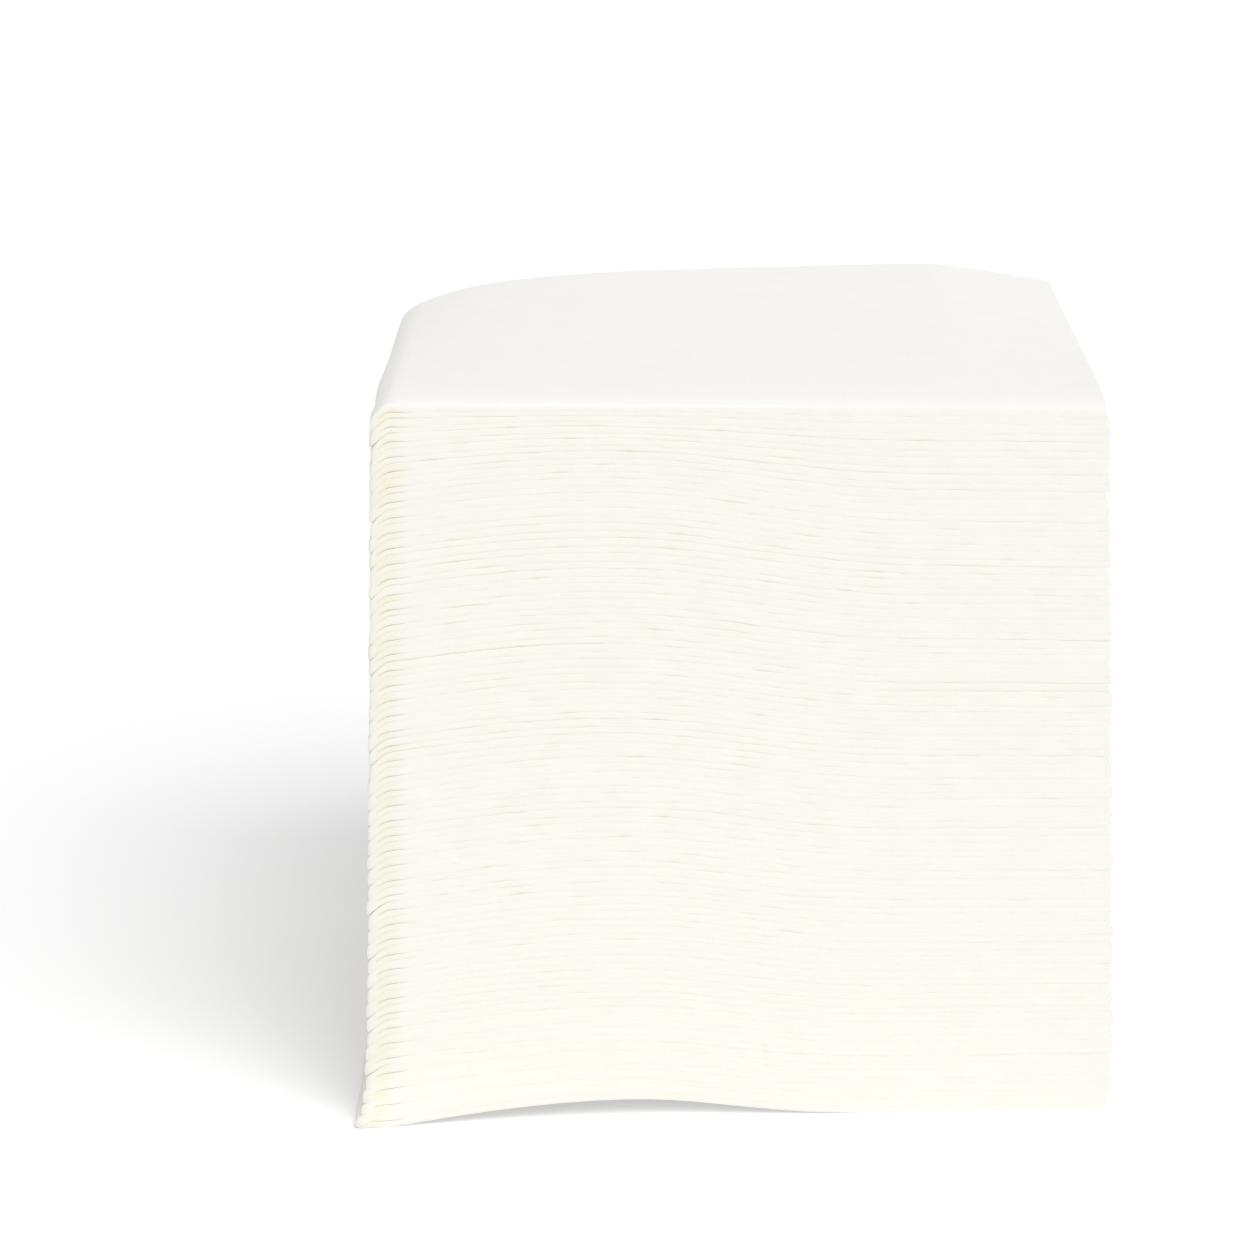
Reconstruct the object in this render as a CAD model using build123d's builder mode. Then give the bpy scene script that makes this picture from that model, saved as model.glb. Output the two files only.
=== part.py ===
"""A free-standing stack of quarter-folded paper napkins, in millimetres.

Each napkin is one square sheet folded twice. The first fold runs along the front, the second
along the left. Every napkin therefore shows two fold ridges at the front, one closed nose at
the left that droops over the napkin below, and cut edges at the right and at the back.
X runs from the closed noses to the cut edges, Y from the fold ridges to the back, Z up.
The origin is on the floor, under the middle of the stack.
"""

import os
from math import cos, exp, pi, sin

from build123d import *

# Count and size of the folded napkins
napkin_count = 48
folded_width = 127.6
folded_depth = 127.0
closed_side_pitch = 2.755
open_side_pitch = 2.645
open_side_looseness = 2.2
rest_gap = 0.08

# Fold ridges at the front, and the parting of the cut edges at the back and at the right
ridge_depth = 0.55
back_parting = 0.7
side_parting_depth = 1.6
side_parting_width = 0.34

# Closed noses at the left
flat_start = 2.4
nose_length = 3.7
nose_droop = 3.0
nose_knee = 0.55
nose_bend = 1.5
knee_fill = 0.85
tip_fill = 0.45

# Lean of the two ends from the top napkin to the bottom one
closed_side_spread = 4.0
nose_spread = 1.0
open_side_spread = 1.1

# Foot, where the lowest noses lie flat on the floor
foot_flare = 1.8
foot_turn = 1.5
foot_fade = 2.0
floor_press = 0.05

# Wave across the stack: the crest is over the arch in the underside
crest_x = -23.0
wave_end_x = 30.0
floor_crest_rise = 3.5
upper_crest_rise = 4.4
loose_napkins = 8
rise_steps = 3
fall_steps = 5

# Puffed back edge of the topmost napkins, which falls away to both corners
crown_rise = 3.6
crown_x = 36.0
closed_corner_fall = 8.6
closed_corner_bend = 4.0
open_corner_fall = 3.4
open_corner_bend = 1.9
crowned_napkins = 5
crown_shoulder_x = 52.0

# Uneven hand stacking: how far each measure strays, and two turns per napkin, in radians, that
# share no common period
nose_wander = 0.2
side_wander = 0.35
depth_wander = 0.25
turn_wander = 0.15
quick_turn = 2.399
quick_share = 0.6
slow_turn = 1.113
side_start = 17.3
depth_start = 12.5
turn_start = 7.7


def up_share(level):
    """How high a boundary between napkins lies in the stack, from 0 on the floor to 1 on top."""
    return level / napkin_count


def wander(level, reach, start=0.0):
    """A small offset that never repeats from one napkin to the next."""
    quick = sin(quick_turn * level + start)
    slow = sin(slow_turn * level + start / 2)
    return reach * (quick_share * quick + (1 - quick_share) * slow)


def root_x(level):
    """Where the flat of a napkin ends and its closed nose begins."""
    return flat_start - folded_width / 2 - closed_side_spread * (1 - up_share(level))


def tip_x(level):
    """Outermost point of a closed nose."""
    reach = nose_length + nose_spread * (1 - up_share(level)) + foot_flare * exp(-level / foot_fade)
    return root_x(level) - reach + wander(level, nose_wander)


def open_x(level):
    """Cut edges at the right."""
    spread = open_side_spread * (1 - up_share(level))
    return folded_width / 2 + spread + wander(level, side_wander, side_start)


def wave(x):
    """Height of the wave as a share of its crest: a quick rise, a slow fall, then level."""
    if x < crest_x:
        return sin(pi / 2 * (x - root_x(0)) / (crest_x - root_x(0)))
    if x < wave_end_x:
        return 0.5 + 0.5 * cos(pi * (x - crest_x) / (wave_end_x - crest_x))
    return 0.0


def crown(x):
    """Lift of the puffed back edge over a straight one."""
    if x < crown_x:
        share = (crown_x - x) / (crown_x + folded_width / 2)
        return crown_rise - closed_corner_fall * share**closed_corner_bend
    share = (x - crown_x) / (folded_width / 2 - crown_x)
    return crown_rise - open_corner_fall * share**open_corner_bend


def boundary(level, x, y):
    """Height of the surface between two napkins. Level 0 is the underside of the stack."""
    across = (x + folded_width / 2) / folded_width
    pitch = closed_side_pitch + (open_side_pitch - closed_side_pitch) * across
    crest = floor_crest_rise + (upper_crest_rise - floor_crest_rise) * up_share(level)
    loose = max(level - napkin_count + loose_napkins, 0) / loose_napkins
    filled = loose**2
    puff = max(level - napkin_count + crowned_napkins, 0) / crowned_napkins
    back = y / folded_depth + 0.5
    straightened = filled * open_side_looseness * across + (1 - filled) * crest * wave(x)
    return level * pitch + straightened + puff * back * crown(x)


def nose_under(level, share, y):
    """Underside of a closed nose, a share of its droop below the flat."""
    droop = nose_droop * (1 - exp(-level / foot_fade))
    return boundary(level, root_x(level), y) - share * droop


def clearance(level):
    """Air under a napkin. The lowest one is pressed into the floor instead and trimmed flat there."""
    return rest_gap if level else -floor_press


def flat_heights(level, x, y):
    """Underside and top of a napkin where it lies on its neighbours."""
    return boundary(level, x, y) + clearance(level), boundary(level + 1, x, y)


def nose_heights(level, share, fill, y):
    """Underside and top of a closed nose, which thins out from the root to the tip."""
    under = nose_under(level, share, y)
    room = nose_under(level + 1, share, y) - under - rest_gap
    return under + clearance(level), under + rest_gap + fill * room


def section(level, x, heights):
    """Outline of a napkin across X: two fold ridges in front, two parted leaves behind."""
    corner_turn = foot_turn * exp(-level / foot_fade) + wander(level, turn_wander, turn_start)
    turned = corner_turn * x / (folded_width / 2)
    ridge_y = wander(level, depth_wander, depth_start) - folded_depth / 2 + turned
    valley_y = ridge_y + ridge_depth
    back_y = ridge_y + folded_depth
    low, high = heights(valley_y)
    back_low, back_high = heights(back_y)
    quarter = (high - low) / 4
    return [
        (valley_y, low),
        (ridge_y, low + quarter),
        (valley_y, low + 2 * quarter),
        (ridge_y, low + 3 * quarter),
        (valley_y, high),
        (back_y, back_high),
        (back_y - back_parting, (back_low + back_high) / 2),
        (back_y, back_low),
    ]


def flat_stations(level):
    """X of the sections from the cut edges to the root of the nose, closer where it curves."""
    falls = [wave_end_x + (crest_x - wave_end_x) * n / fall_steps for n in range(fall_steps + 1)]
    rises = [crest_x + (root_x(level) - crest_x) * n / rise_steps for n in range(1, rise_steps + 1)]
    shoulder = [crown_shoulder_x] if level >= napkin_count - crowned_napkins else []
    return [open_x(level)] + shoulder + falls + rises


def napkin_sections(level):
    """All sections of one napkin, from the cut edges to the tip of the nose."""
    outlines = []
    for x in flat_stations(level):
        outlines.append((x, section(level, x, lambda y, x=x: flat_heights(level, x, y))))
    for share, fill in ((nose_knee, knee_fill), (1.0, tip_fill)):
        x = root_x(level) + share * (tip_x(level) - root_x(level))
        outlines.append((x, section(level, x, lambda y: nose_heights(level, share**nose_bend, fill, y))))
    return outlines


os.makedirs("parts", exist_ok=True)

# Middle of the floor under the stack, from the flared foot to the cut edges
middle_x = (tip_x(0) + open_x(0)) / 2

for level in range(napkin_count):
    name = f"napkin_{level + 1:02d}"
    with BuildPart() as napkin:
        for x, outline in napkin_sections(level):
            with BuildSketch(Plane(origin=(x - middle_x, 0, 0), x_dir=(0, 1, 0), z_dir=(1, 0, 0))):
                with BuildLine():
                    Polyline(*outline, close=True)
                make_face()
        loft(ruled=True)

        # The two leaves part a little at the cut edges on the right
        edge_x = open_x(level)
        inner_x = edge_x - side_parting_depth
        edge_z = sum(flat_heights(level, edge_x, 0)) / 2
        inner_z = sum(flat_heights(level, inner_x, 0)) / 2
        with BuildSketch(Plane.XZ):
            with BuildLine():
                Polyline(
                    (inner_x - middle_x, inner_z),
                    (edge_x - middle_x, edge_z + side_parting_width / 2),
                    (edge_x - middle_x, edge_z - side_parting_width / 2),
                    close=True,
                )
            make_face()
        extrude(amount=folded_depth, both=True, mode=Mode.SUBTRACT)

        # The floor keeps the lowest napkin flat where it touches
        if level == 0:
            split(bisect_by=Plane.XY, keep=Keep.TOP)
    napkin.part.label = name
    export_step(napkin.part, f"parts/{name}.step")
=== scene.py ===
"""The looks of a free-standing stack of quarter-folded paper napkins.

Each napkin is dressed as what it is: one soft sheet folded twice. The first fold makes a pair of
layers with a rounded ridge along the front. The second fold carries that pair round a closed nose
at the left, so the pair lies once in the upper leaf and once in the lower leaf. Working sizes are
in millimetres from the middle of the top napkin, and turn into metres of the shared frame when
a mesh is made.
"""

from math import cos, exp, pi, radians, sin

import bpy
import numpy as np
from mathutils import Matrix, Vector


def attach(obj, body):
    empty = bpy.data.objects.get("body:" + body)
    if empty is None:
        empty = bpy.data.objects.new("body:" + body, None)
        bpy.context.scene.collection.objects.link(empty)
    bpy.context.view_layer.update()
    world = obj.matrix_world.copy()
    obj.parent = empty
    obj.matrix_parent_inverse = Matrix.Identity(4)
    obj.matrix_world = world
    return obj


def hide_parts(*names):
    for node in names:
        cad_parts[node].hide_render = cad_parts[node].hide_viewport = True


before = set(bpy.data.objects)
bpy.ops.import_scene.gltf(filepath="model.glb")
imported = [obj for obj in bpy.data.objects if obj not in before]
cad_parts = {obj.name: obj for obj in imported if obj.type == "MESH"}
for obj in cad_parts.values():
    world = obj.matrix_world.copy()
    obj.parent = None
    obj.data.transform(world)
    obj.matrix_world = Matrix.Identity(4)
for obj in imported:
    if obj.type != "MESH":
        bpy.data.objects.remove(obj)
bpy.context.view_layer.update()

MM = 0.001

# Count and size of the folded napkins, the same as in the solids
napkin_count = 48
folded_width = 127.6
folded_depth = 127.0
closed_side_pitch = 2.755
open_side_pitch = 2.645
open_side_looseness = 2.2

# Closed noses at the left, the pocket inside them and their rounded front corner
flat_start = 2.4
nose_length = 3.7
nose_droop = 3.0
nose_bend = 1.5
nose_bow = 0.35
round_start = 0.55
round_squareness = 4.6
pocket_end = 0.62
pocket_height = 0.04
pocket_reach = 2.2
corner_round = 2.2
corner_depth = 0.45

# Lean of the two ends from the top napkin to the bottom one
closed_side_spread = 4.0
nose_spread = 1.0
open_side_spread = 1.1

# Foot, where the lowest noses lie flat on the floor and the lowest cut edges are tucked in
foot_flare = 1.8
foot_turn = 3.0
foot_fade = 2.0
open_foot_tuck = 1.0

# Wave across the stack: the crest is over the arch in the underside
crest_x = -23.0
wave_end_x = 30.0
floor_crest_rise = 3.5
upper_crest_rise = 4.4
floor_fall_bend = 0.8
loose_napkins = 8

# Puffed back edge of the topmost napkins, which falls away to both corners
crown_rise = 3.1
crown_x = 40.0
crown_slope = 0.03
closed_corner_fall = 5.2
closed_corner_bend = 6.6
closed_tip_fall = 1.2
closed_tip_bend = 18.0
open_corner_fall = 3.6
open_corner_bend = 1.15
crowned_napkins = 5

# Those napkins also puff up behind the front ridge, and their noses stand out towards the back
front_puff = 1.0
front_puff_reach = 4.0
crest_roundness = 0.35
corner_bulge = 0.8
corner_bulge_bend = 1.5

# Uneven hand stacking: how far each measure strays, two turns per napkin, in radians, that share
# no common period, and where each measure starts
nose_wander = 0.15
side_wander = 0.35
depth_wander = 0.03
turn_wander = 0.04
quick_turn = 2.399
quick_share = 0.6
slow_turn = 1.113
side_start = 17.3
depth_start = 12.5
turn_start = 7.7
leaf_start = 3.1
layer_start = 9.4

# The sheet and its folds. The room in a closed fold is counted in thicknesses of the paper
paper_thickness = 0.42
fold_room = 2.2
lower_leaf_share = 0.42
ridge_depth = 0.2
ridge_fullness = 0.8
slit = 0.003
seam_gap = 0.006

# Cut edges: how far the layers stray from each other, and the lift of their free parts, which
# fades inwards over its reach, up to the given number of reaches
layer_stray = 0.35
edge_lift = 0.25
edge_lift_reach = 5.0
edge_lift_end = 20

# How far the soft ridges part at their grooves, where 1 is fully round and 0 is pressed flat
closed_side_parting = 0.2
open_side_parting = 0.11
floor_parting_share = 0.5
least_parting = 0.02
nose_parting = 0.14
nose_parting_reach = 3.0
parting_stray = 0.4
parting_ripple = 0.5
longest_parting = 16.0
shortest_parting = 3.0
open_side_dashes = 0.4
plain_share = 0.6
plain_place = 9.0
plain_reach = 5.0

# Pit in each groove beside the nose, and the painted shade there, darker and warmer, which is
# weaker towards the floor
nose_pit = 0.8
nose_pit_place = 3.2
nose_pit_stray = 0.7
nose_pit_reach = 1.1
painted_nose_shade = 0.6
painted_nose_shade_stray = 0.7
painted_nose_shade_fade = 0.4
painted_nose_shade_place = 3.2
painted_nose_shade_reach = 1.9

# Seams, and slits between leaves, that gape more than the rest: number from below, from x, to x,
# how much more. A gape ends the more abruptly the higher its sharpness
gaping_seams = (
    (25, -68, -56, 0.45),
    (30, 24, 64, 0.3),
    (31, -68, -31, 0.4),
    (34, -53, -46, 0.45),
    (37, -55, -47, 0.5),
    (47, -66, -58, 0.4),
)
gaping_slits = ((29, 24, 64, 0.3),)
gape_sharpness = 4

# Small unevenness along the ridges, the seams and the noses. It grows in along the ridges from the
# tip of the nose, runs slantwise in the seams, and differs from layer to layer at the cut edges
ridge_ripple = 0.035
ridge_ripple_start = 14.8
edge_ripple = 0.08
layer_shift = 9.0
seam_ripple = 0.1
seam_slant = 0.8
share_ripple = 0.035
nose_ripple = 0.22
longest_ripple = 70.0
shortest_ripple = 5.0

# Make of an uneven line: count of waves, how much their lengths stray, and how quickly they
# weaken as they get shorter
ripple_terms = 6
slow_terms = 3
length_stray = 0.2
weakening = 0.35

# Away from the front, the seams wave slowly and the two layers of a leaf lie closer in places, which
# differ from leaf to leaf
side_wave = 0.3
side_wave_hold = 15.0
closed_side_wave = 0.65
layer_closing = 0.45
closing_stray = 0.9
widest_closing = 0.47
leaf_shift = 200.0
longest_side_wave = 160.0
shortest_side_wave = 55.0

# First seed of each kind of uneven line
seam_seed = 100
slow_seam_seed = 200
napkin_seed = 1000
seeds_per_napkin = 20
groove_seed = 3000
slit_seed = 5000
closing_seed = 7000

# How finely each napkin is divided
run_steps = 84
tip_steps = 5
ridge_steps = 8
depth_shares = (0.0, 0.008, 0.03, 0.1, 0.25, 0.4, 0.55, 0.7, 0.82, 0.9, 0.95, 0.975, 0.988, 0.995)
inner_every = 3
sharp_angle = 50

# The photograph's camera, in millimetres and degrees, over a square frame of 1260 pixels
frame_pixels = 1260
focal_pixels = 4789
sensor_width = 36.0
near_clip = 10.0
camera_place = (-9.0, -884.1, 293.6)
camera_turn = 0.55
camera_dip = 13.88
camera_roll = -1.2

# Paper colour on the flat and on a folded ridge, and the painted shade deep in a groove, darker
# and warmer as if light bounced in the paper there
flat_colour = (0.955, 0.94, 0.905)
ridge_colour = (0.957, 0.94, 0.875)
painted_groove_shade = (0.915, 0.885, 0.74)

# Place of a ridge on the scale from the flat colour to the painted groove shade, how much deeper
# the painted shade is in a fully parted groove, and the share of the painted shade beside the
# noses that is on the ridges themselves
ridge_tone = 0.5
parted_groove_shade = 0.5
nose_shade_on_ridges = 0.3

# Finish of the paper, and its faint mottling
paper_roughness = 0.85
paper_gloss = 0.2
paper_sheen = 0.05
mottle_scale = 160
mottle_detail = 5
mottle_from = 0.3
mottle_to = 0.7
mottle_shade = 0.985

# Felt of short fibres in three layers, each with its turn in degrees and its scale
fibre_layers = ((20, 1500), (75, 1700), (140, 1300))
fibre_stretch = (1, 0.15, 0.6)
fibre_detail = 2
felt_strength = 0.35
felt_height = 0.06

# Light, where 1 shows a colour as it is written
sky_level = 0.62
key_level = 0.485
key_azimuth = 27
key_height = 46
key_softness = 34

# Floor: share of the light it returns to the stack. For the camera the share is its own, with an
# even glow added. Under the front of the arch the camera sees painted light, more glow, which lifts
# the stack's shadow there; the patch reaches in behind the front and out by a margin in front
floor_bounce = 0.82
floor_white = 0.95
floor_glow = 0.1
arch_painted_light_white = 0.9
arch_painted_light = 0.44
arch_reach = 16.0
arch_margin = 6.0
floor_half = 3000.0
floor_gap = 0.02


def up_share(level):
    """How high a boundary between napkins lies in the stack, from 0 on the floor to 1 on top."""
    return level / napkin_count


def wander(level, reach, start=0.0):
    """A small offset that never repeats from one napkin to the next."""
    quick = sin(quick_turn * level + start)
    slow = sin(slow_turn * level + start / 2)
    return reach * (quick_share * quick + (1 - quick_share) * slow)


def root_x(level):
    """Where the flat of a napkin ends and its closed nose begins."""
    return flat_start - folded_width / 2 - closed_side_spread * (1 - up_share(level))


def tip_x(level):
    """Outermost point of a closed nose."""
    reach = nose_length + nose_spread * (1 - up_share(level)) + foot_flare * exp(-level / foot_fade)
    return root_x(level) - reach + wander(level, nose_wander)


def open_x(level):
    """Cut edges at the right."""
    spread = open_side_spread * (1 - up_share(level))
    return folded_width / 2 + spread + wander(level, side_wander, side_start)


def wave(level, x):
    """Height of the wave as a share of its crest: a quick rise, a fall that is steeper near the
    floor, then flat."""
    rise = np.sin(pi / 2 * (x - root_x(0)) / (crest_x - root_x(0)))
    fall = 0.5 + 0.5 * np.cos(pi * (x - crest_x) / (wave_end_x - crest_x))
    fall = fall ** (1 + floor_fall_bend * (1 - up_share(level)) ** 2)
    return np.where(x < crest_x, rise, np.where(x < wave_end_x, fall, 0.0))


def crown(x):
    """Lift of the puffed back edge over a straight one, which falls away to both corners."""
    closed = np.clip((crown_x - x) / (crown_x + folded_width / 2), 0, None)
    opened = np.clip((x - crown_x) / (folded_width / 2 - crown_x), 0, None)
    corners = closed_corner_fall * closed**closed_corner_bend
    corners = corners + closed_tip_fall * closed**closed_tip_bend
    corners = corners + open_corner_fall * opened**open_corner_bend
    return crown_rise - corners - crown_slope * np.clip(crown_x - x, 0, None)


def ripple(seed, where, reach, longest=longest_ripple, shortest=shortest_ripple, terms=ripple_terms):
    """A smooth uneven line: waves of several lengths, each with its own start."""
    draw = np.random.default_rng(seed)
    total = np.zeros_like(where)
    for n in range(terms):
        length = longest * (shortest / longest) ** (n / (terms - 1))
        length = length * draw.uniform(1 - length_stray, 1 + length_stray)
        total += np.sin(2 * pi * (where / length + draw.uniform())) * (length / longest) ** weakening
    return reach * total / terms**0.5


def slow_ripple(seed, where, reach):
    """The slow kind of uneven line, which waves only a few times along a side."""
    return ripple(seed, where, reach, longest_side_wave, shortest_side_wave, slow_terms)


def boundary(level, x, y):
    """Height of the surface between two napkins. Level 0 is the underside of the stack."""
    across = (x + folded_width / 2) / folded_width
    pitch = closed_side_pitch + (open_side_pitch - closed_side_pitch) * across
    crest = floor_crest_rise + (upper_crest_rise - floor_crest_rise) * up_share(level)
    filled = (max(level - napkin_count + loose_napkins, 0) / loose_napkins) ** 2
    puff = max(level - napkin_count + crowned_napkins, 0) / crowned_napkins
    back = np.clip(y / folded_depth + 0.5, 0, 1)
    roll = front_puff * (1 - np.exp(-back * folded_depth / front_puff_reach))
    straightened = filled * open_side_looseness * across + (1 - filled) * crest * wave(level, x)
    height = level * pitch + straightened + puff * (back * crown(x) + roll)
    if level == 0:
        return np.maximum(height, 0)
    away = (closed_side_wave + (1 - closed_side_wave) * across) * (1 - filled)
    away = away * (1 - np.exp(-back * folded_depth / side_wave_hold))
    slow = away * slow_ripple(slow_seam_seed + level, y, side_wave)
    return height + ripple(seam_seed + level, x + seam_slant * y, seam_ripple) + slow


def parting(first_seed, x, tip, number, gapes):
    """How far two soft ridges part along their groove, from pressed flat to fully round."""
    seed = first_seed + number
    across = np.clip(x / folded_width + 0.5, 0, 1)
    even = closed_side_parting + (open_side_parting - closed_side_parting) * across
    near_nose = nose_parting * np.exp(-np.clip(x - tip, 0, None) / nose_parting_reach)
    dashes = np.clip(ripple(seed, x, 1, longest_parting, shortest_parting), 0, None) ** 2
    dashes = parting_ripple * dashes * (1 + (open_side_dashes - 1) * across)
    plain = plain_share * np.exp(-(((x - tip - plain_place) / plain_reach) ** 2))
    draw = np.random.default_rng(seed)
    stray = draw.uniform(1 - parting_stray, 1 + parting_stray)
    share = floor_parting_share + (1 - floor_parting_share) * up_share(number)
    uneven = (even + dashes) * (1 - plain) * stray * share
    pit_x = tip + nose_pit_place + draw.uniform(-nose_pit_stray, nose_pit_stray)
    near_nose = near_nose + nose_pit * draw.uniform() * np.exp(-(((x - pit_x) / nose_pit_reach) ** 2))
    for gaping, start, end, more in gapes:
        if gaping == number:
            from_middle = (2 * x - start - end) / (end - start)
            uneven = uneven + more * np.exp(-(from_middle**gape_sharpness))
    return np.clip(uneven + near_nose, least_parting, 1)


def ridge_stray(seed, x):
    """How far a ridge stands out or back along its length."""
    return ripple(seed, x, ridge_ripple, longest_parting, shortest_parting)


def droop(level):
    """How far the tip of a nose hangs below its root."""
    return nose_droop * (1 - exp(-level / foot_fade))


class Napkin:
    """The curves of one folded napkin, from which its skins are laid out."""

    def __init__(self, level):
        self.level = level
        self.root = root_x(level)
        self.tip = tip_x(level)
        self.foot_turn = foot_turn * exp(-level / foot_fade)
        self.corner_turn = wander(level, turn_wander, turn_start)
        self.front = wander(level, depth_wander, depth_start) - folded_depth / 2

    def heights(self, x, y, share):
        """Underside and top at a place, a share of the way along the nose."""
        flat_x = np.maximum(x, self.root)
        bend = share**nose_bend
        low = boundary(self.level, flat_x, y) + seam_gap * (self.level > 0) - bend * droop(self.level)
        high = boundary(self.level + 1, flat_x, y) - bend * droop(self.level + 1)
        return low, high

    def path(self):
        """Stations from the open side round the nose and back, as rows of leaf side and nose share."""
        rounding = [round_start + (1 - round_start) * sin(pi / 2 * n / tip_steps) for n in range(tip_steps)]
        nose = [0.0, round_start / 3, round_start * 2 / 3] + rounding
        flats = [(1, -(1 - n / run_steps)) for n in range(run_steps)]
        upper = flats + [(1, share) for share in nose]
        lower = [(-1, share) for _, share in reversed(upper)]
        return np.array(upper + [(0, 1.0)] + lower)


def layer_profile():
    """The outer skin of a pair of layers from cut edge to cut edge. Each row has the share of the
    depth, the bulge of the ridge, and the share of the height, which is 1 on the outside of the
    napkin and 0 at the slit between its leaves."""
    outside = [(share, 0.0, 1.0) for share in depth_shares]
    ridge = []
    for n in range(ridge_steps + 1):
        angle = pi * n / ridge_steps
        bulge = sin(angle) ** ridge_fullness if 0 < n < ridge_steps else 0.0
        ridge.append((1.0, bulge, 0.5 + 0.5 * cos(angle)))
    inside = [(share, 0.0, 0.0) for share in reversed(depth_shares)]
    return np.array(outside + ridge + inside)


def fold_tone_and_painted_shade(napkin, seed, upper, x, depth, height, parted):
    """Place on the scale from the flat paper colour to the painted groove shade: 0 on the flat, more on a
    ridge, most deep in a groove, and painted shade beside the noses.
    """
    level = napkin.level
    # Painted shade beside the noses, at the pits, weaker towards the floor
    nose_shade_strays = np.random.default_rng(seed).uniform(1 - painted_nose_shade_stray, 1 + painted_nose_shade_stray, 2)
    tone = painted_nose_shade * (1 - painted_nose_shade_fade * (1 - up_share(level))) * np.where(upper, nose_shade_strays[0], nose_shade_strays[1])
    nose_shade = tone * np.exp(-(((x - napkin.tip - painted_nose_shade_place) / painted_nose_shade_reach) ** 2))
    # Painted shade deep in the grooves, deeper where they part
    deep = np.abs(2 * height - 1)
    folded = ridge_tone + nose_shade * (nose_shade_on_ridges + deep) + parted_groove_shade * deep * parted
    folded = np.where(depth == 1, np.clip(folded, 0, 1), 0)
    # On the top napkin the tone fades out towards the top of its ridge
    if level == napkin_count - 1:
        folded = np.where(upper & (height > 0.5), folded * (1 - height), folded)
    return folded


def skin(napkin, stations, profile, inner):
    """One skin of the folded pair, as an array of station by profile by x, y, z and fold tone, which
    carries the painted shade of the grooves.
    """
    level = napkin.level
    side = stations[:, 0][:, None]
    along = stations[:, 1][:, None]
    depth, bulge, height = (profile[:, n][None, :] for n in range(3))
    first = napkin_seed + seeds_per_napkin * level
    seeds = range(first, first + 8)
    upper_seed, lower_seed, back_seed, leaf_seed, nose_seed, lift_seed, nose_shade_seed, side_seed = seeds
    upper = side >= 0
    lower_leaf = np.where(upper, 0, 1)

    # Along the run: the two leaves end a little apart, and so do the layers of each leaf
    leaf_end = open_x(level) - open_foot_tuck * exp(-level / foot_fade)
    leaf_end = leaf_end + np.where(upper, 1, -1) * wander(level, layer_stray, leaf_start) / 2
    end = leaf_end + (height - 0.5) * wander(level, layer_stray, layer_start)
    end = end + ripple(side_seed, depth * folded_depth + layer_shift * height, edge_ripple)
    share = np.clip(along, 0, 1)
    run_x = napkin.root + np.clip(-along, 0, 1) * (end - napkin.root)
    x = np.where(along > 0, napkin.root + share * (napkin.tip - napkin.root), run_x)

    # Across the depth: ridges in front that stray a little, cut edges behind
    from_middle = x / (folded_width / 2)
    turn = napkin.corner_turn * from_middle - napkin.foot_turn * np.minimum(from_middle, 0) ** 2
    stray = np.where(upper, ridge_stray(upper_seed, x), ridge_stray(lower_seed, x))
    nose_blend = np.clip((x - napkin.tip) / ridge_ripple_start, 0, 1)
    ridge_y = napkin.front + turn + stray * nose_blend
    back_stray = ripple(back_seed, x, edge_ripple)
    back_stray = back_stray + (height - 0.5) * layer_stray * (1 - 2 * lower_leaf)
    back_y = napkin.front + turn + folded_depth + back_stray
    fold_y = ridge_y + ridge_depth
    above = parting(groove_seed, x, napkin.tip, level + 1, gaping_seams)
    below = parting(groove_seed, x, napkin.tip, level, gaping_seams)
    seam = np.where(upper, above, below)
    if level == napkin_count - 1:
        seam = np.where(upper, crest_roundness, seam)
    between_leaves = parting(slit_seed, x, napkin.tip, level, gaping_slits)
    parted = between_leaves + (seam - between_leaves) * height
    bulge = 1 - parted * (1 - bulge)
    y = back_y + depth * (fold_y - back_y) - bulge * (depth == 1) * ridge_depth
    if inner:
        y = np.where(depth == 1, fold_y + paper_thickness * (1 - bulge), y)

    # Heights: outside of the napkin, and the slit between its leaves
    low, high = napkin.heights(x, y, share)
    room = high - low
    past = np.clip((share - round_start) / (1 - round_start), 0, 1)
    rounded = np.clip(1 - past**round_squareness, 0, 1) ** (1 / round_squareness)
    middle = (low + high) / 2
    outer = middle + side * rounded * room / 2
    lower_share = lower_leaf_share + ripple(leaf_seed, x, share_ripple)
    pocket = np.clip(1 - share / pocket_end, 0, 1) * pocket_height
    pocket = pocket * np.exp(-(np.clip(x - napkin.root, 0, None) / pocket_reach) ** 2)
    toward = np.clip(share / pocket_end, 0, 1)
    slit_middle = low + room * (lower_share + (0.5 - lower_share) * toward)
    inner_height = slit_middle + side * (slit * (1 - toward) + pocket)
    slit_x = np.where(share > pocket_end, napkin.root + pocket_end * (napkin.tip - napkin.root), x)
    tip_low, tip_high = napkin.heights(slit_x, y, np.minimum(share, pocket_end))
    inner_height = np.where(share > pocket_end, (tip_low + tip_high) / 2, inner_height)

    # The noses drift along the depth, and the inner skin keeps a sheet's thickness off the outer one
    bow = nose_bow * (1 - np.clip(2 * y / folded_depth, -1, 1) ** 2)
    puff = max(level + 1 - napkin_count + crowned_napkins, 0) / crowned_napkins
    bulge_out = puff * corner_bulge * np.clip(y / folded_depth + 0.5, 0, 1) ** corner_bulge_bend
    drift = (ripple(nose_seed, y, nose_ripple) - bow - bulge_out) * share
    weight = height
    if inner:
        leaf_height = np.maximum(np.abs(outer - inner_height), fold_room * paper_thickness)
        thickness = paper_thickness / leaf_height
        closer = slow_ripple(closing_seed + level, x + y + leaf_shift * lower_leaf, closing_stray)
        closer = np.clip(layer_closing + closer, 0, 1)
        thickness = thickness + (widest_closing - thickness) * closer
        weight = height * (1 - 2 * thickness) + thickness
    point_x = slit_x + weight * (x - slit_x) + drift * weight
    point_z = inner_height + weight * (outer - inner_height)

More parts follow.
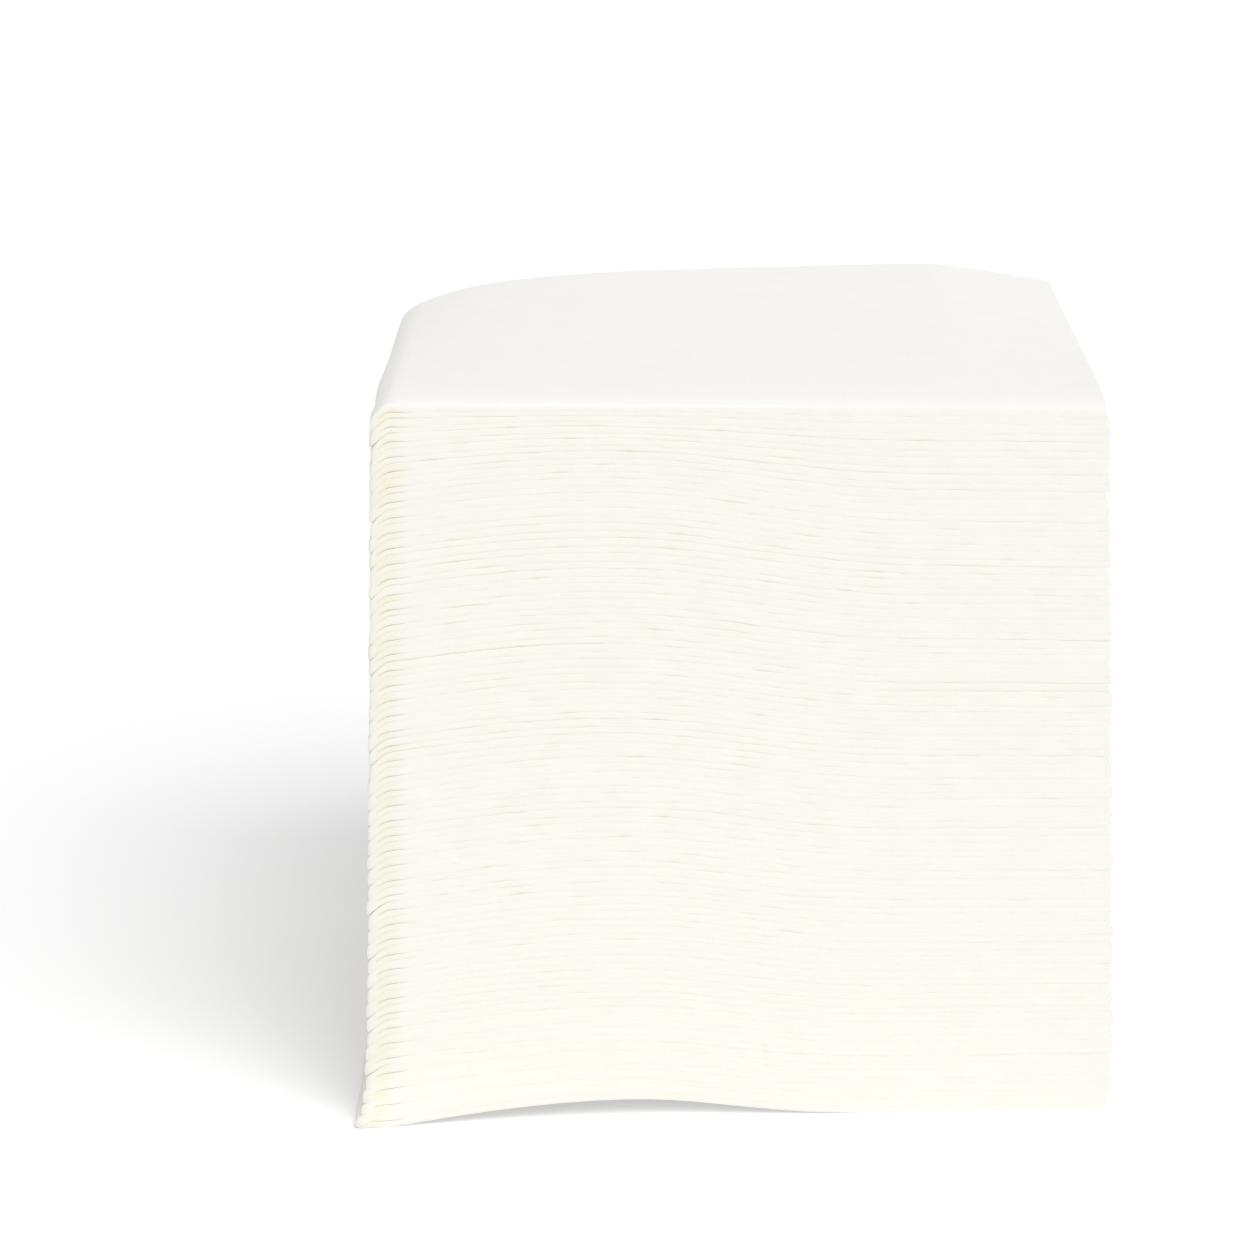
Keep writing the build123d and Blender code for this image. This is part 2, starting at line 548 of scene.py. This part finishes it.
    # The front corner of the nose is rounded, and the free parts of the cut edges lift a little
    corner = np.clip(1 - (point_x - napkin.tip) / corner_round, 0, None)
    point_y = y + depth * corner_depth * corner**2
    from_back = (back_y - y) / edge_lift_reach
    from_side = (end - x) / edge_lift_reach
    free = np.exp(-np.clip(np.minimum(from_back, from_side), 0, edge_lift_end))
    lift = ripple(lift_seed, x + y, edge_lift) * free * (0.5 - np.abs(weight - 0.5))
    point_z = np.maximum(point_z + lift, 0)
    # Fold tone, with painted shade in the grooves and beside the noses
    tone = fold_tone_and_painted_shade(napkin, nose_shade_seed, upper, x, depth, height, parted)
    return np.stack([point_x, point_y, point_z, tone], axis=-1)


def folded_sheet(level):
    """Points and faces of one napkin: two skins and the cut edges between them."""
    napkin = Napkin(level)
    stations = napkin.path()
    outer_profile = layer_profile()
    inner_profile = outer_profile[::inner_every]
    outer = skin(napkin, stations, outer_profile, False)
    inner = skin(napkin, stations, inner_profile, True)[:, ::-1]
    loop = np.concatenate([outer, inner], axis=1)
    rows, columns = loop.shape[:2]
    index = np.arange(rows * columns).reshape(rows, columns)
    following = np.roll(index, -1, axis=1)
    quads = np.stack([index[:-1], following[:-1], following[1:], index[1:]], axis=-1).reshape(-1, 4)
    faces = quads.tolist()
    for row, turned in ((0, True), (rows - 1, False)):
        for n in range(len(inner_profile) - 1):
            rim = [index[row, inner_every * n + k] for k in range(inner_every + 1)]
            rim += [index[row, columns - 2 - n], index[row, columns - 1 - n]]
            faces.append([int(p) for p in (reversed(rim) if turned else rim)])
    return loop.reshape(-1, 4), faces


def paper_material():
    """Warm white airlaid paper: a felt of short fibres, softly mottled, that shines a little, with the fold
    tone of the points, whose grooves are painted shade.
    """
    material = bpy.data.materials.new("airlaid_paper")
    material.use_nodes = True
    nodes = material.node_tree.nodes
    links = material.node_tree.links
    shader = nodes["Principled BSDF"]
    shader.inputs["Roughness"].default_value = paper_roughness
    shader.inputs["Specular IOR Level"].default_value = paper_gloss
    shader.inputs["Sheen Weight"].default_value = paper_sheen
    place = nodes.new("ShaderNodeTexCoord")

    mottle = nodes.new("ShaderNodeTexNoise")
    mottle.inputs["Scale"].default_value = mottle_scale
    mottle.inputs["Detail"].default_value = mottle_detail
    links.new(place.outputs["Object"], mottle.inputs["Vector"])
    cloud = nodes.new("ShaderNodeValToRGB")
    cloud.color_ramp.elements[0].position = mottle_from
    cloud.color_ramp.elements[0].color = (mottle_shade, mottle_shade, mottle_shade, 1)
    cloud.color_ramp.elements[1].position = mottle_to
    cloud.color_ramp.elements[1].color = (1, 1, 1, 1)
    links.new(mottle.outputs["Fac"], cloud.inputs["Fac"])
    # Fold tone from the points: flat colour, a yellower ridge, and painted shade deep in the grooves
    folded = nodes.new("ShaderNodeAttribute")
    folded.attribute_name = "fold"
    tone = nodes.new("ShaderNodeValToRGB")
    tone.color_ramp.elements[0].color = (*flat_colour, 1)
    tone.color_ramp.elements[1].color = (*painted_groove_shade, 1)
    ridge = tone.color_ramp.elements.new(ridge_tone)
    ridge.color = (*ridge_colour, 1)
    links.new(folded.outputs["Fac"], tone.inputs["Fac"])
    tone_and_painted_shade = nodes.new("ShaderNodeMix")
    tone_and_painted_shade.data_type = "RGBA"
    tone_and_painted_shade.blend_type = "MULTIPLY"
    tone_and_painted_shade.inputs["Factor"].default_value = 1
    links.new(tone.outputs["Color"], tone_and_painted_shade.inputs["A"])
    links.new(cloud.outputs["Color"], tone_and_painted_shade.inputs["B"])
    links.new(tone_and_painted_shade.outputs["Result"], shader.inputs["Base Color"])

    felt = None
    for turn, scale in fibre_layers:
        stretch = nodes.new("ShaderNodeMapping")
        stretch.inputs["Rotation"].default_value = (radians(turn), radians(turn / 2), radians(turn))
        stretch.inputs["Scale"].default_value = fibre_stretch
        links.new(place.outputs["Object"], stretch.inputs["Vector"])
        fibres = nodes.new("ShaderNodeTexNoise")
        fibres.inputs["Scale"].default_value = scale
        fibres.inputs["Detail"].default_value = fibre_detail
        links.new(stretch.outputs["Vector"], fibres.inputs["Vector"])
        if felt is None:
            felt = fibres.outputs["Fac"]
        else:
            both = nodes.new("ShaderNodeMath")
            both.operation = "ADD"
            links.new(felt, both.inputs[0])
            links.new(fibres.outputs["Fac"], both.inputs[1])
            felt = both.outputs["Value"]
    bump = nodes.new("ShaderNodeBump")
    bump.inputs["Strength"].default_value = felt_strength
    bump.inputs["Distance"].default_value = felt_height * MM
    links.new(felt, bump.inputs["Height"])
    links.new(bump.outputs["Normal"], shader.inputs["Normal"])
    return material


def dress_napkin(level, material, shift):
    """Builds one napkin in place of its solid."""
    node = f"napkin_{level + 1:02d}"
    points, faces = folded_sheet(level)
    mesh = bpy.data.meshes.new(node + "_sheet")
    mesh.from_pydata(((points[:, :3] - shift) * MM).tolist(), [], faces)
    # The fold tone and its painted shade ride on the points
    mesh.attributes.new("fold", "FLOAT", "POINT").data.foreach_set("value", points[:, 3])
    mesh.materials.append(material)
    mesh.shade_smooth()
    mesh.set_sharp_from_angle(angle=radians(sharp_angle))
    piece = bpy.data.objects.new(node + "_sheet", mesh)
    bpy.context.scene.collection.objects.link(piece)
    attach(piece, "root")
    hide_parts(node)


def mix_for_camera(nodes, links, plain, shown, output):
    """One shader where the camera looks, directly, in a gloss or through a clear thing, and the
    plain one for all other light."""
    path = nodes.new("ShaderNodeLightPath")
    seen = path.outputs["Is Camera Ray"]
    for name in ("Is Glossy Ray", "Is Transmission Ray"):
        either = nodes.new("ShaderNodeMath")
        either.operation = "MAXIMUM"
        links.new(seen, either.inputs[0])
        links.new(path.outputs[name], either.inputs[1])
        seen = either.outputs["Value"]
    mix = nodes.new("ShaderNodeMixShader")
    links.new(seen, mix.inputs["Fac"])
    links.new(plain, mix.inputs[1])
    links.new(shown, mix.inputs[2])
    links.new(mix.outputs["Shader"], output.inputs["Surface"])


def add_floor():
    """A white floor that keeps the shadow of the stack, with a patch of painted light under the front of
    the arch.
    """
    half = floor_half * MM
    side = folded_width / 2 * MM
    # Patch of painted light under the front of the arch
    front = -(folded_depth / 2 + arch_margin) * MM
    back = (arch_reach - folded_depth / 2) * MM
    mesh = bpy.data.meshes.new("floor")
    outer = [(-half, -half, 0), (half, -half, 0), (half, half, 0), (-half, half, 0)]
    inner = [(-side, front, 0), (side, front, 0), (side, back, 0), (-side, back, 0)]
    around = [(n, (n + 1) % 4, 4 + (n + 1) % 4, 4 + n) for n in range(4)]
    mesh.from_pydata(outer + inner, [], around + [(4, 5, 6, 7)])
    floor = bpy.data.objects.new("floor", mesh)
    bpy.context.scene.collection.objects.link(floor)
    floor.location.z = -floor_gap * MM
    mesh.materials.append(floor_material("floor_white", floor_white, floor_glow))
    mesh.materials.append(floor_material("floor_painted_light_under_arch", arch_painted_light_white, arch_painted_light))
    # The middle patch, under the front of the arch, takes the painted light
    mesh.polygons[len(around)].material_index = 1


def floor_material(name, white, glow_level):
    """Plain white for the light that bounces, and nearly full white where the camera sees it. The glow is
    seen by the camera alone; under the arch it is painted light.
    """
    material = bpy.data.materials.new(name)
    material.use_nodes = True
    nodes = material.node_tree.nodes
    links = material.node_tree.links
    nodes.remove(nodes["Principled BSDF"])
    plain = nodes.new("ShaderNodeBsdfDiffuse")
    plain.inputs["Color"].default_value = (floor_bounce, floor_bounce, floor_bounce, 1)
    shown = nodes.new("ShaderNodeBsdfDiffuse")
    shown.inputs["Color"].default_value = (white, white, white, 1)
    glow = nodes.new("ShaderNodeEmission")
    glow.inputs["Strength"].default_value = glow_level
    bright = nodes.new("ShaderNodeAddShader")
    links.new(shown.outputs["BSDF"], bright.inputs[0])
    links.new(glow.outputs["Emission"], bright.inputs[1])
    output = nodes["Material Output"]
    mix_for_camera(nodes, links, plain.outputs["BSDF"], bright.outputs["Shader"], output)
    return material


def add_sky():
    """An even white surround, full white where the camera sees it."""
    world = bpy.data.worlds.new("white_surround")
    bpy.context.scene.world = world
    world.use_nodes = True
    nodes = world.node_tree.nodes
    links = world.node_tree.links
    lit = nodes["Background"]
    lit.inputs["Color"].default_value = (1, 1, 1, 1)
    lit.inputs["Strength"].default_value = sky_level
    seen = nodes.new("ShaderNodeBackground")
    seen.inputs["Color"].default_value = (1, 1, 1, 1)
    seen.inputs["Strength"].default_value = 1.0
    output = nodes["World Output"]
    mix_for_camera(nodes, links, lit.outputs["Background"], seen.outputs["Background"], output)


def add_key_light():
    """One soft lamp from the front right."""
    lamp = bpy.data.lights.new("key", "SUN")
    lamp.energy = pi * key_level
    lamp.angle = radians(key_softness)
    key = bpy.data.objects.new("key", lamp)
    bpy.context.scene.collection.objects.link(key)
    azimuth = radians(key_azimuth)
    height = radians(key_height)
    toward = Vector((cos(height) * sin(azimuth), -cos(height) * cos(azimuth), sin(height)))
    key.rotation_euler = toward.to_track_quat("Z", "Y").to_euler()
    key.location = toward


def add_camera():
    """The photograph's viewpoint."""
    yaw = radians(camera_turn)
    dip = radians(camera_dip)
    roll = radians(camera_roll)
    ahead = Vector((-sin(yaw) * cos(dip), cos(yaw) * cos(dip), -sin(dip)))
    level_right = Vector((cos(yaw), sin(yaw), 0))
    level_up = level_right.cross(ahead)
    right = level_right * cos(roll) + level_up * sin(roll)
    up = level_up * cos(roll) - level_right * sin(roll)
    lens = bpy.data.cameras.new("camera")
    lens.sensor_fit = "HORIZONTAL"
    lens.sensor_width = sensor_width
    lens.lens = lens.sensor_width * focal_pixels / frame_pixels
    lens.clip_start = near_clip * MM
    camera = bpy.data.objects.new("camera", lens)
    bpy.context.scene.collection.objects.link(camera)
    turn = Matrix((right, up, -ahead)).transposed().to_4x4()
    camera.matrix_world = Matrix.Translation(Vector(camera_place) * MM) @ turn
    bpy.context.scene.camera = camera


# Middle of the floor under the stack, from the flared foot to the cut edges
stack_middle = np.array([(tip_x(0) + open_x(0)) / 2, 0, 0])
paper = paper_material()
for level in range(napkin_count):
    dress_napkin(level, paper, stack_middle)
add_floor()
add_sky()
add_key_light()
add_camera()
bpy.context.scene.view_settings.view_transform = "Standard"
